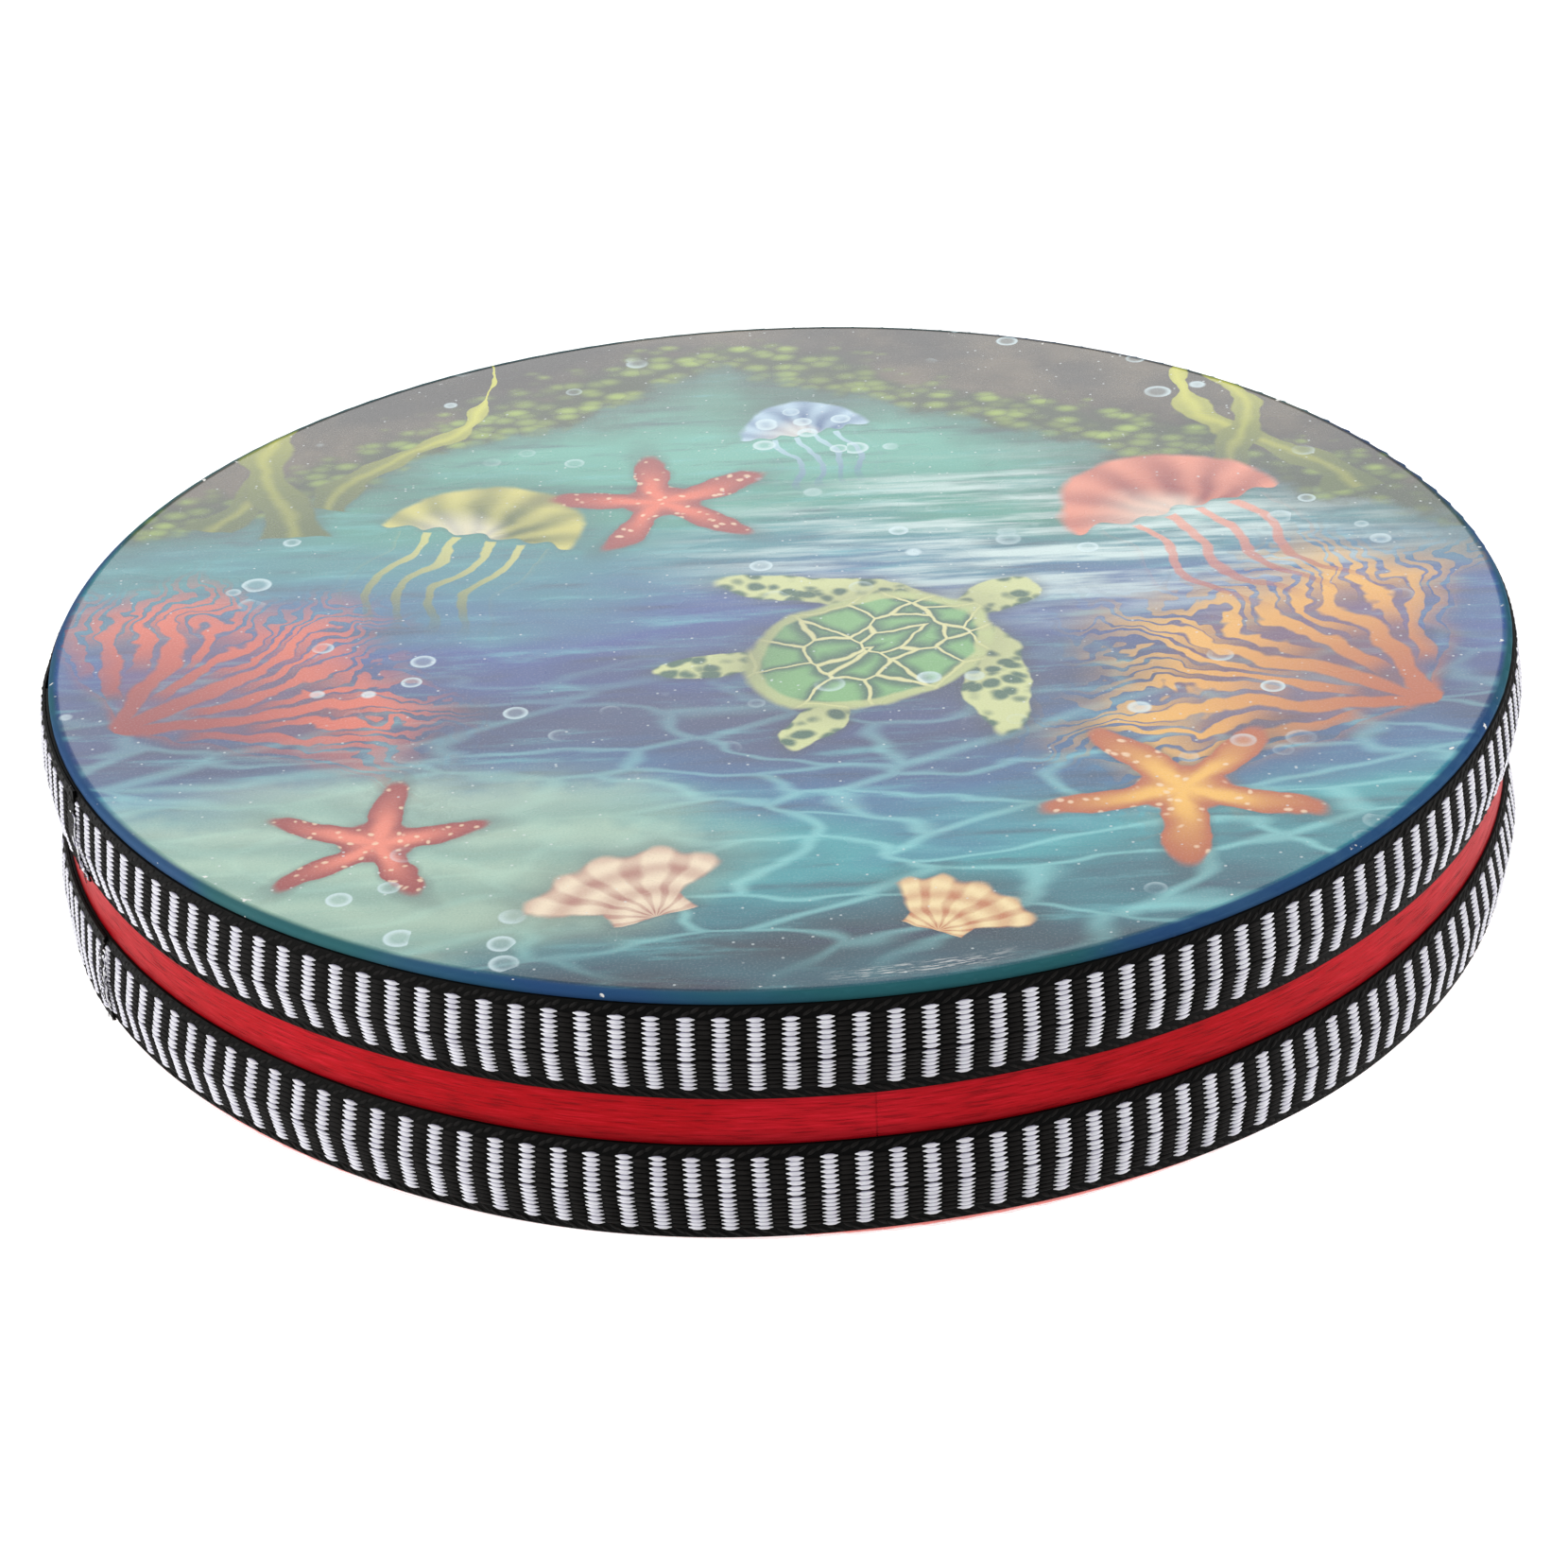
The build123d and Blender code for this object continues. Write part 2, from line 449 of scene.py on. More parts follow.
class SeaPrint:
    """The film's print: water over a reef, with corals, stars, jellies, shells and a turtle."""

    paint: Wire

    def __init__(self, radius: float, top: float) -> None:
        """Sets up the print's own coordinates, which run on down the film's skirt.

        Args:
            radius: The head's radius, which becomes 1.
            top: The height of its face.
        """
        self.board = Board("printed_film")
        x, y, z = self.board.place()
        drawn_out = ((top - z) / radius + 1.0) / radius
        self.x = x * drawn_out
        self.y = y * drawn_out
        self.reach = span(self.x, self.y)
        self.flat = self.board.vector(self.x, self.y)
        wobble = self.board.noise(self.flat, 9.0, 3.0) - 0.5
        sway = self.board.noise(self.board.vector(self.y, self.x, 3.0), 9.0, 3.0) - 0.5
        self.drawn_x = self.x + wobble * 0.05
        self.drawn_y = self.y + sway * 0.05

    def coat(self, colour: Term, share: Term) -> None:
        """Lays a share of a colour over what is painted so far."""
        self.paint = self.board.mix(self.paint, colour, share)

    def local(self, spot: Spot) -> tuple[Wire, Wire]:
        """A motif's own coordinates, across and up in its own size."""
        return turned(self.drawn_x, self.drawn_y, (spot.x, spot.y, spot.size, spot.size, spot.turn))

    def lay(self, edge: Wire, colour: Term, soft: float = 0.08, shade: float = 0.4) -> None:
        """Paints a motif with a soft shade round it.

        Args:
            edge: The motif's field, 1 at its edge and less inside.
            colour: The motif's colour.
            soft: How soft its edge is.
            shade: How dark the shade round it is.
        """
        self.coat(ink(6, 26, 44), edge.fall(0.9, 1.45) * shade)
        self.coat(colour, edge.fall(1.0 - soft, 1.0 + soft))

    def water(self) -> None:
        """Paints the water: bands of blue and teal with brushed streaks and rippling light."""
        board = self.board
        slow = board.noise(board.vector(self.x * 1.2, self.y * 3.0, 1.0), 1.6, 3.0) - 0.5
        self.paint = board.ramp(
            self.y * 0.5 + slow * 0.34 + 0.5,
            (
                (0.0, ink(6, 34, 58)),
                (0.08, ink(16, 104, 122)),
                (0.17, ink(44, 158, 168)),
                (0.27, ink(30, 98, 150)),
                (0.36, ink(38, 62, 112)),
                (0.46, ink(28, 72, 150)),
                (0.56, ink(40, 128, 150)),
                (0.68, ink(46, 148, 132)),
                (0.8, ink(92, 178, 160)),
                (1.0, ink(40, 74, 62)),
            ),
        )
        brush = board.noise(board.vector(self.x * 1.3, self.y * 8.0, 5.0), 3.2, 5.0, 0.62)
        self.coat(ink(10, 44, 84), brush.fall(0.28, 0.5) * 0.6)
        self.coat(ink(110, 200, 206), brush.rise(0.52, 0.74) * 0.5)
        glow_x, glow_y = self.x - 0.42, self.y - 0.2
        glow = (glow_x * glow_x * 1.1 + glow_y * glow_y * 4.2).fall(0.0, 0.5)
        rays = board.noise(board.vector(self.x * 1.1 + self.y * 0.5, self.y * 9.0, 9.0), 3.4, 4.0, 0.6)
        self.coat(ink(214, 236, 234), glow * rays.rise(0.38, 0.64) * 0.9)
        net_place = board.vector(self.x * 0.8 + slow * 0.35, self.y * 1.9 + slow * 0.5, 2.0)
        net = board.seams(net_place, 5.5)
        near = self.y.fall(-0.75, 0.05) * self.y.rise(-1.0, -0.8)
        self.coat(ink(150, 226, 226), net.fall(0.0, 0.09) * near * 0.55)

    def reef(self) -> None:
        """Paints sand in front and dark, weedy rocks at both far sides."""
        board = self.board
        rough = board.noise(board.vector(self.x, self.y, 7.0), 4.2, 5.0, 0.62)
        lumps = (rough - 0.5) * 0.5
        sand_x, sand_y = self.x + 0.52, self.y + 0.66
        sand = sand_x * sand_x * 2.2 + sand_y * sand_y * 7.0
        ripple = ((self.y * 60.0 + lumps * 22.0 + self.x * 9.0).sin() * 0.5 + 0.5) * 0.45
        dune = board.mix(ink(178, 206, 180), ink(96, 146, 134), ripple)
        self.coat(dune, (sand + lumps).fall(0.15, 0.6) * 0.8)
        bank = self.y * 1.15 + (self.x + 0.06).size() * 0.72 + lumps * 0.8
        stone = board.mix(ink(26, 25, 26), ink(104, 92, 74), rough.rise(0.38, 0.72))
        leaf, shade = board.cells(board.vector(self.x, self.y * 1.4, 4.0), 26.0)
        weed = board.mix(ink(24, 54, 20), ink(150, 178, 62), leaf.fall(0.1, 0.75) * (shade * 0.6 + 0.4))
        self.coat(ink(14, 44, 50), bank.rise(0.78, 1.0) * 0.7)
        self.coat(weed, bank.rise(0.92, 0.99))
        self.coat(stone, (bank + (leaf - 0.4) * 0.1).rise(1.06, 1.16))

    def blade(self, spot: Spot, phase: float) -> None:
        """Paints one waving blade of kelp.

        Args:
            spot: Its place and colours.
            phase: Where its wave starts.
        """
        across, up = self.local(spot)
        bend = (up * 5.0 + phase).sin() * 0.09
        width = (up * 26.0 + phase).sin() * 0.012 + (1.02 - up).most(0.0).root() * 0.07
        middle = (across - bend).size()
        edge = (middle / width.most(0.004)).most((up * -1.0) * 40.0 + 1.0)
        lit = up.rise(0.0, 1.0) * 0.7 + middle.fall(0.0, 0.03) * 0.3
        self.lay(edge, self.board.mix(spot.dark, spot.light, lit), 0.12, 0.25)

    def star(self, spot: Spot) -> None:
        """Paints a five-armed sea star with a beaded ridge on each arm.

        Args:
            spot: Its place and colours.
        """
        board = self.board
        across, up = self.local(spot)
        reach = span(across, up)
        arms = (across.angle(up) * 5.0).cos() * 0.5 + 0.5
        edge = reach / (arms ** 2.2 * 0.68 + 0.32)
        beads, _ = board.cells(board.vector(across, up, spot.turn), 9.0)
        colour = board.mix(spot.light, spot.dark, edge.rise(0.05, 1.0))
        colour = board.mix(colour, spot.light, (arms * (1.15 - reach)).rise(0.55, 0.95) * 0.75)
        self.lay(edge, board.mix(colour, ink(255, 226, 190), beads.fall(0.12, 0.3) * 0.7), 0.07)

    def jelly(self, spot: Spot) -> None:
        """Paints a jelly: a banded bell with a frilled hem and trailing threads.

        Args:
            spot: Its place and colours.
        """
        board = self.board
        across, up = self.local(spot)
        rise = up - 0.12
        dome = (across * across * 4.0 + rise * rise * 3.3).root()
        hem = (across * 34.0).cos() * 0.025 - rise
        bell = dome.most(hem * 9.0 + 1.0)
        drift = across + (up * 8.0 + spot.turn).sin() * (0.15 - up) * 0.09
        lane = (drift * 6.2).part() - 0.5
        threads = (lane.size() / 0.17).most(drift.size() / 0.4).most(up * 40.0 - 2.0).most(up * -1.12)
        self.coat(board.mix(spot.dark, spot.light, up.rise(-0.9, 0.1)), threads.fall(0.6, 1.05) * 0.75)
        bands = (across.angle(rise + 0.12) * 14.0).cos() * 0.5 + 0.5
        colour = board.mix(spot.dark, spot.light, bands * 0.45 + dome.rise(0.35, 0.98) * 0.4)
        colour = board.mix(colour, ink(255, 246, 226), (dome + across).fall(0.1, 0.5) * 0.55)
        self.lay(bell, colour, 0.05, 0.3)

    def fan(self, spot: Spot) -> None:
        """Paints a branching sea fan that spreads up from its foot.

        Args:
            spot: Its place and colours.
        """
        board = self.board
        across, up = self.local(spot)
        reach = span(across, up)
        twist = (board.noise(board.vector(across, up, spot.turn), 3.4, 3.0) - 0.5) * 0.9
        lean = across.angle(up) + twist * reach
        rim = (lean.size() / 1.05).most(reach / ((lean * 9.0).cos() * 0.07 + 0.9))
        edge = reach * 99.0
        branches = (1.6, 0.0, 0.034), (3.2, 0.24, 0.026), (6.4, 0.46, 0.02), (12.8, 0.7, 0.015)
        for count, start, thick in branches:
            lane = ((lean * count + 0.5).part() - 0.5).size() * reach / (count * thick)
            edge = edge.least(lane.most(start * 1.05 / reach.most(0.01)))
        self.coat(spot.dark, rim.fall(0.75, 1.0) * 0.28)
        self.lay(edge.most(rim), board.mix(spot.dark, spot.light, reach.rise(0.1, 1.0)), 0.25, 0.3)

    def shell(self, spot: Spot) -> None:
        """Paints a ribbed scallop shell.

        Args:
            spot: Its place and colours.
        """
        across, up = self.local(spot)
        up = up + 0.55
        reach = span(across, up)
        lean = across.angle(up)
        ribs = (lean * 15.0).cos()
        edge = (lean.size() / 0.98).most(reach / (ribs * 0.04 + 1.05))
        wing = (across.size() / 0.36).most((up - 0.12).size() / 0.12)
        rings = (reach * 19.0).sin() * 0.5 + 0.5
        colour = self.board.mix(spot.light, spot.dark, rings * 0.45 + ribs.fall(-0.9, 0.3) * 0.4)
        self.lay(edge.least(wing), colour, 0.05)

    def turtle(self, spot: Spot) -> None:
        """Paints a swimming turtle seen from above.

        Args:
            spot: Its place and the colours of its skin.
        """
        board = self.board
        across, up = self.local(spot)
        side = across.size()
        flipper, hind, head, back = (
            span(*turned(side, up, oval))
            for oval in (
                (0.5, 0.2, 0.42, 0.12, -38.0),
                (0.3, -0.5, 0.24, 0.09, -62.0),
                (0.0, 0.64, 0.13, 0.19, 0.0),
                (0.0, 0.0, 0.41, 0.53, 0.0),
            )
        )
        scales, _ = board.cells(board.vector(across, up, 1.0), 13.0)
        skin = board.mix(spot.dark, spot.light, scales.rise(0.3, 0.62))
        self.lay(flipper.least(hind).least(head), skin, 0.06)
        plates = board.seams(board.vector(side, up, 2.0), 4.6)
        colour = board.mix(ink(28, 92, 74), ink(118, 178, 112), plates.rise(0.02, 0.22))
        colour = board.mix(ink(222, 220, 160), colour, plates.rise(0.012, 0.04))
        colour = board.mix(colour, ink(200, 206, 140), back.rise(0.84, 0.9) * 0.8)
        colour = board.mix(colour, ink(14, 52, 50), (across * -0.7 + up * -0.5).rise(0.05, 0.6) * 0.55)
        self.lay(back, colour, 0.04, 0.3)

    def bubbles(self) -> None:
        """Paints small bubbles in loose drifts, and motes in the water."""
        board = self.board
        far, size = board.cells(board.vector(self.x, self.y, 6.0), 15.0)
        drift = board.noise(board.vector(self.x, self.y, 8.0), 2.6, 1.0).rise(0.5, 0.62)
        ring = far / (size * 0.26 + 0.07)
        shown = ring.fall(0.9, 1.08) * size.rise(0.45, 0.55) * drift
        self.coat(ink(216, 240, 246), shown * (ring.rise(0.45, 0.95) * 0.6 + 0.16))
        mote, keep = board.cells(board.vector(self.x, self.y, 12.0), 85.0)
        self.coat(ink(226, 236, 238), mote.fall(0.1, 0.22) * keep.rise(0.86, 0.9) * 0.6)

    def wear(self) -> None:
        """Adds print grain, a darker border, chips of lost ink along the rim and scuffs at the front."""
        board, reach = self.board, self.reach
        grain = board.noise(self.flat, 330.0, 2.0)
        self.coat(ink(255, 255, 255), grain.rise(0.5, 0.8) * 0.1)
        self.coat(ink(0, 0, 0), grain.fall(0.2, 0.5) * 0.14)
        drift = board.noise(board.vector(self.x, self.y, 17.0), 2.4, 2.0)
        border = board.mix(ink(0, 90, 98), ink(0, 66, 118), drift.rise(0.44, 0.58))
        self.coat(border, reach.rise(0.986, 0.996) * 0.95)
        chips = board.noise(board.vector(self.x, self.y, 15.0), 38.0, 3.0).rise(0.68, 0.71)
        self.coat(ink(238, 238, 234), chips * reach.rise(0.972, 0.98))
        rubbed = self.x.rise(0.02, 0.1) * self.x.fall(0.2, 0.28) * self.y.fall(-0.9, -0.85)
        rubbed = rubbed * reach.rise(0.95, 0.96) * reach.fall(0.972, 0.982)
        streaks = board.noise(board.vector(self.x, reach * 9.0, 19.0), 34.0, 4.0, 0.65).rise(0.5, 0.6)
        self.coat(ink(214, 216, 214), rubbed * streaks * 0.75)

    def make(self) -> Material:
        """Paints the print from the back to the front and sets the film's satin.

        Returns:
            The material.
        """
        coral = ink(150, 22, 26), ink(236, 104, 70)
        amber = ink(186, 84, 22), ink(250, 190, 74)
        kelp = ink(70, 92, 24), ink(206, 206, 70)
        self.water()
        self.reef()
        for *place, phase in (
            (-0.84, 0.34, 0.5, -16.0, 0.4),
            (-0.74, 0.3, 0.62, -6.0, 2.1),
            (-0.63, 0.38, 0.44, -24.0, 3.9),
            (0.8, 0.28, 0.5, 18.0, 1.2),
            (0.69, 0.34, 0.46, 2.0, 5.0),
        ):
            self.blade(Spot(*place, *kelp), phase)
        for draw, *spot in (
            (self.jelly, 0.06, 0.56, 0.2, 14.0, ink(42, 96, 150), ink(190, 222, 240)),
            (self.fan, -0.88, -0.28, 0.42, -46.0, *coral),
            (self.fan, 0.86, -0.36, 0.48, 54.0, *amber),
            (self.jelly, -0.44, 0.24, 0.3, -20.0, kelp[0], ink(222, 214, 110)),
            (self.jelly, 0.6, 0.22, 0.34, 24.0, coral[0], ink(246, 150, 120)),
            (self.turtle, 0.12, -0.14, 0.36, -52.0, ink(40, 96, 74), ink(206, 214, 150)),
            (self.star, -0.16, 0.36, 0.17, 10.0, *coral),
            (self.star, 0.5, -0.56, 0.19, 30.0, *amber),
            (self.star, -0.52, -0.6, 0.15, -8.0, coral[0], ink(244, 130, 104)),
            (self.shell, -0.2, -0.74, 0.15, 24.0, ink(168, 96, 84), ink(246, 226, 196)),
            (self.shell, 0.2, -0.82, 0.11, -36.0, amber[0], ink(250, 226, 170)),
        ):
            draw(Spot(*spot))
        self.bubbles()
        self.wear()
        self.coat(ink(0, 0, 0), 0.24)
        board = self.board
        smear = board.noise(board.vector(self.x, self.y * 1.6, 2.0), 5.0, 3.0)
        dulled = self.reach.rise(0.984, 0.99) * 0.7
        board.set(Base_Color=self.paint, Roughness=smear * 0.1 + 0.22 + dulled, IOR=1.56)
        board.bump(board.noise(self.flat, 240.0, 2.0), 0.02 * MM, 0.25)
        return board.material


# Modelling helpers


def clear_selection() -> None:
    """Leaves edit mode and deselects every object."""
    if bpy.context.object and bpy.context.object.mode != "OBJECT":
        bpy.ops.object.mode_set(mode="OBJECT")
    bpy.ops.object.select_all(action="DESELECT")


def pick(piece: Object) -> None:
    """Makes a piece the only selected and the active object.

    Args:
        piece: The piece.
    """
    clear_selection()
    piece.select_set(True)
    bpy.context.view_layer.objects.active = piece


def points_of(piece: Object) -> np.ndarray:
    """Reads a piece's vertices.

    Args:
        piece: The piece.

    Returns:
        Rows of x, y and z.
    """
    flat = np.zeros(len(piece.data.vertices) * 3)
    piece.data.vertices.foreach_get("co", flat)
    return flat.reshape(-1, 3)


def repeat(piece: Object, count: int, step: Triple) -> None:
    """Copies a piece's shape in a row, as one mesh.

    Args:
        piece: The piece.
        count: How many there are in the end.
        step: From each to the next.
    """
    pick(piece)
    row = piece.modifiers.new("row", "ARRAY")
    row.use_relative_offset = False
    row.use_constant_offset = True
    row.constant_offset_displace = step
    row.count = count
    bpy.ops.object.modifier_apply(modifier=row.name)


def settle(piece: Object, material: Material) -> None:
    """Dresses a finished piece of webbing and puts it on the drum's body.

    Args:
        piece: The piece.
        material: Its finish.
    """
    piece.data.materials.clear()
    piece.data.materials.append(material)
    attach(piece, "drum")
    LOG.info("%s: %d faces", piece.name, len(piece.data.polygons))


# The drum


class Side(Enum):
    """The two ends of the drum."""

    UPPER = "upper"
    LOWER = "lower"


@dataclass(frozen=True)
class BandFit:
    """What differs between the two bands. The lap's start is in degrees."""

    extra_width: float
    first_float: float
    crease_row: int
    edge_swing: float
    lap_dip: float
    lap_start: float
    white_bars: int
    seed: int


BAND_FITS = {
    Side.UPPER: BandFit(0.3 * MM, 2.15 * MM, 9, 0.0, 0.4 * MM, 186.8, 161, 11),
    Side.LOWER: BandFit(0.0, 2.0 * MM, 8, 0.42 * MM, 0.95 * MM, 189.0, 162, 23),
}


def hill(value: np.ndarray, middle: float, spread: float) -> np.ndarray:
    """A smooth hill, 1 at its middle."""
    return np.exp(-(((value - middle) / spread) ** 2))


@dataclass
class Webbing:
    """One band of barred webbing: a woven ground, raised white bars and looped edges."""

    side: Side
    white: Material
    black: Material
    loose: Material
    turn_bars: float = 154.5
    bar_count: int = 162
    float_rows: int = 16
    float_pitch: float = 0.79 * MM
    crease_gap: float = 0.2 * MM
    crease_round: float = 0.05 * MM
    white_length: float = 2.8 * MM
    bare_share: float = 0.62
    thickness: float = 0.8 * MM
    glue_line: float = 0.05 * MM
    ground_cells: tuple[int, int] = (640, 14)
    ground_thickness: float = 0.45 * MM
    float_rise: float = 0.5 * MM
    gap_rise: float = 0.35 * MM
    float_sink: float = 0.05 * MM
    float_jitter: float = 0.035 * MM
    tip_span: tuple[float, float] = (0.6, 0.99)
    tip_taper: Triple = (1.0, 0.64, 0.72)
    loop_size: Triple = (2.3 * MM, 0.72 * MM, 0.3 * MM)
    loop_turn: float = 0.6
    loop_sink: float = 0.08 * MM
    loop_jitter: float = 0.06 * MM
    fuzz_count: int = 34
    fuzz_thickness: float = 0.16 * MM
    thread_thickness: float = 0.26 * MM
    lap_lift: float = 0.6 * MM
    ramp: float = math.radians(6.0)
    end_slack: float = 2.2 * MM
    end_wave: float = 0.35 * MM
    end_wave_run: float = 1.9 * MM
    end_curl: float = 0.08 * MM
    end_curl_run: float = 1.3 * MM
    bar_skew: float = 0.35 * MM
    bulge_angle: float = 228.0
    bulge_spread: float = 18.0
    bulge_rise: float = 0.5 * MM
    dip_angle: float = 197.0
    dip_spread: float = 12.0
    crease_wander: float = 0.12 * MM
    staple_ripple: float = 0.06 * MM
    staple_count: int = 32
    edge_wander: float = 0.16 * MM
    swing_count: int = 6
    swing_fade: float = 0.6
    swing_angle: float = math.radians(270)

    def __post_init__(self) -> None:
        """Reads the band's place from the CAD frame."""
        name = self.side.value
        low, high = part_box(f"{name}_band")
        self.stem = f"{name}_webbing"
        self.fit = BAND_FITS[self.side]
        self.rim_z, self.inward = (high[2], -1.0) if self.side is Side.UPPER else (low[2], 1.0)
        self.width = high[2] - low[2] + self.fit.extra_width
        rows_above = self.fit.crease_row - 0.5
        self.crease = self.fit.first_float + rows_above * self.float_pitch + self.crease_gap / 2
        self.crease_share = self.crease / self.width
        self.hoop_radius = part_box("frame_hoop")[1][0] + self.glue_line
        self.skirt_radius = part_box(f"{name}_head")[1][0] + self.glue_line
        self.crease_radius = high[0] - self.thickness
        self.wrap_radius = (self.skirt_radius + self.crease_radius) / 2 + self.thickness / 2
        self.bar_pitch = 2 * math.pi * self.wrap_radius / self.turn_bars
        self.length = self.bar_pitch * self.bar_count
        self.chance = np.random.default_rng(self.fit.seed)
        self.phases = self.chance.uniform(0, 2 * math.pi, (4, 6))

    def wave(self, theta: np.ndarray, which: int) -> np.ndarray:
        """A smooth unevenness round the drum.

        Args:
            theta: Angles round the drum.
            which: Which of the four unevennesses.

        Returns:
            Its value at each angle, within about one either way.
        """
        total = np.zeros_like(theta)
        weights = (0.3, 0.3, 0.25, 0.2, 0.15, 0.1)
        for count, weight, phase in zip((2, 3, 5, 9, 14, 23), weights, self.phases[which]):
            total += weight * np.sin(count * theta + phase)
        return total

    def wrap(self, flat: np.ndarray) -> np.ndarray:
        """Lays flat webbing round the drum.

        Args:
            flat: Rows of length along, distance from the rim edge and height above the underside.

        Returns:
            Their places on the drum.
        """
        along, across, height = flat.T
        share = across / self.width
        slack = np.exp(-np.abs(self.length - along) / self.end_slack)
        along = along + slack * np.sin(across / self.end_wave_run + self.phases[3, 0]) * self.end_wave
        curl = np.sin(across / self.end_curl_run + self.phases[3, 1]) + 1
        height = height + slack * curl * self.end_curl
        turn = along / self.wrap_radius
        theta = math.radians(self.fit.lap_start) + turn
        skew = self.wave(theta, 0) * self.bar_skew * (share - 0.5) * 2
        theta = theta + skew / self.wrap_radius
        degrees = np.degrees(theta) % 360
        bulge = hill(degrees, self.bulge_angle, self.bulge_spread) * self.bulge_rise
        dip = hill(degrees, self.dip_angle, self.dip_spread) * self.fit.lap_dip
        ripple = np.cos(self.staple_count * theta) * self.staple_ripple
        crease = self.crease_radius + self.wave(theta, 1) * self.crease_wander + ripple + bulge - dip
        upper = self.skirt_radius + (crease - self.skirt_radius) * share / self.crease_share
        lower = self.hoop_radius + (crease - self.hoop_radius) * (1 - share) / (1 - self.crease_share)
        under = (upper + lower) / 2 - np.hypot((upper - lower) / 2, self.crease_round)
        lapped = np.clip((turn - (2 * math.pi - self.ramp)) / self.ramp, 0, 1)
        lapped = lapped * lapped * (3 - 2 * lapped)
        radius = under + height + lapped * self.lap_lift
        swing = np.sin(self.swing_count * (theta - self.swing_angle)) * (1 - self.swing_fade * share)
        shift = self.wave(theta, 2) * self.edge_wander + self.fit.edge_swing * swing
        z = self.rim_z + self.inward * (across + shift)
        return np.stack([radius * np.cos(theta), radius * np.sin(theta), z], axis=1)

    def put(self, piece: Object, flat: np.ndarray) -> None:
        """Wraps a flat piece round the drum, with its faces outwards.

        Args:
            piece: The piece.
            flat: Its points on the flat webbing.
        """
        piece.data.vertices.foreach_set("co", np.ascontiguousarray(self.wrap(flat)).ravel())
        piece.data.update()
        if self.inward < 0:
            piece.data.flip_normals()

    def float_shape(self, name: str, size: Triple, rings: int, turn: float = 0.0) -> Object:
        """Models one float of yarn: a pointed lens, flat underneath.

        Args:
            name: The piece's name.
            size: Its length, width and rise.
            rings: How many rings it has along its length.
            turn: How far it is turned on the webbing, in radians.

        Returns:
            The float at the origin.
        """
        clear_selection()
        bpy.ops.mesh.primitive_uv_sphere_add(segments=8, ring_count=rings, radius=1.0)
        piece = bpy.context.object
        piece.name = name
        bpy.ops.object.mode_set(mode="EDIT")
        bpy.ops.mesh.select_mode(type="VERT")
        bpy.ops.mesh.select_all(action="SELECT")
        bpy.ops.transform.rotate(value=math.pi / 2, orient_axis="Y", center_override=(0, 0, 0))
        bpy.ops.mesh.select_all(action="DESELECT")
        bpy.ops.object.mode_set(mode="OBJECT")
        reach = np.abs(points_of(piece)[:, 0])
        low, high = self.tip_span
        piece.data.vertices.foreach_set("select", (reach > low) & (reach < high))
        bpy.ops.object.mode_set(mode="EDIT")
        bpy.ops.transform.resize(value=self.tip_taper, center_override=(0, 0, 0))
        bpy.ops.mesh.select_all(action="SELECT")
        bpy.ops.transform.resize(value=(size[0] / 2, size[1] / 2, size[2]), center_override=(0, 0, 0))
        bpy.ops.mesh.bisect(
            plane_co=(0, 0, 0), plane_no=(0, 0, 1), use_fill=True, clear_inner=True, threshold=1e-6
        )
        if turn:
            bpy.ops.mesh.select_all(action="SELECT")
            bpy.ops.transform.rotate(value=turn, orient_axis="Z", center_override=(0, 0, 0))
        bpy.ops.object.mode_set(mode="OBJECT")
        bpy.ops.object.shade_smooth_by_angle(angle=math.radians(50))
        return piece

    def lay(self, piece: Object, shift: Triple, group: int, jitter: float) -> None:
        """Moves a flat sheet of floats into place and wraps it round the drum.

        Args:
            piece: The floats, as one flat mesh.
            shift: Where the first one goes on the flat webbing.
            group: How many vertices one float has.
            jitter: How far a float may be out of line.
        """
        flat = points_of(piece) + np.array(shift)
        floats = len(flat) // group
        middles = flat[:, 1].reshape(floats, group).mean(axis=1)
        past_crease = middles > self.crease - self.crease_gap / 2
        flat[:, 1] += np.repeat(np.where(past_crease, self.crease_gap, 0.0), group)
        out_of_line = self.chance.normal(0, jitter, (floats, 3)).clip(-2 * jitter, 2 * jitter)
        out_of_line[:, 2] *= 0.4
        flat += np.repeat(out_of_line, group, axis=0)
        self.put(piece, flat)

    def ground(self) -> Object:
        """Models the woven strip under the floats.

        Returns:
            The strip, wrapped round the drum.
        """
        clear_selection()
        along, across = self.ground_cells
        bpy.ops.mesh.primitive_grid_add(x_subdivisions=along, y_subdivisions=across, size=1.0)
        piece = bpy.context.object
        piece.name = piece.data.name = self.stem
        bpy.ops.object.mode_set(mode="EDIT")
        bpy.ops.mesh.select_all(action="SELECT")
        bpy.ops.transform.resize(value=(self.length, self.width, 1.0), center_override=(0, 0, 0))
        bpy.ops.transform.translate(value=(self.length / 2, self.width / 2, 0))
        bpy.ops.object.mode_set(mode="OBJECT")
        wall = piece.modifiers.new("wall", "SOLIDIFY")
        wall.thickness = self.ground_thickness
        wall.offset = 1.0
        bpy.ops.object.modifier_apply(modifier=wall.name)
        bpy.ops.object.shade_smooth_by_angle(angle=math.radians(40))
        self.put(piece, points_of(piece))
        return piece

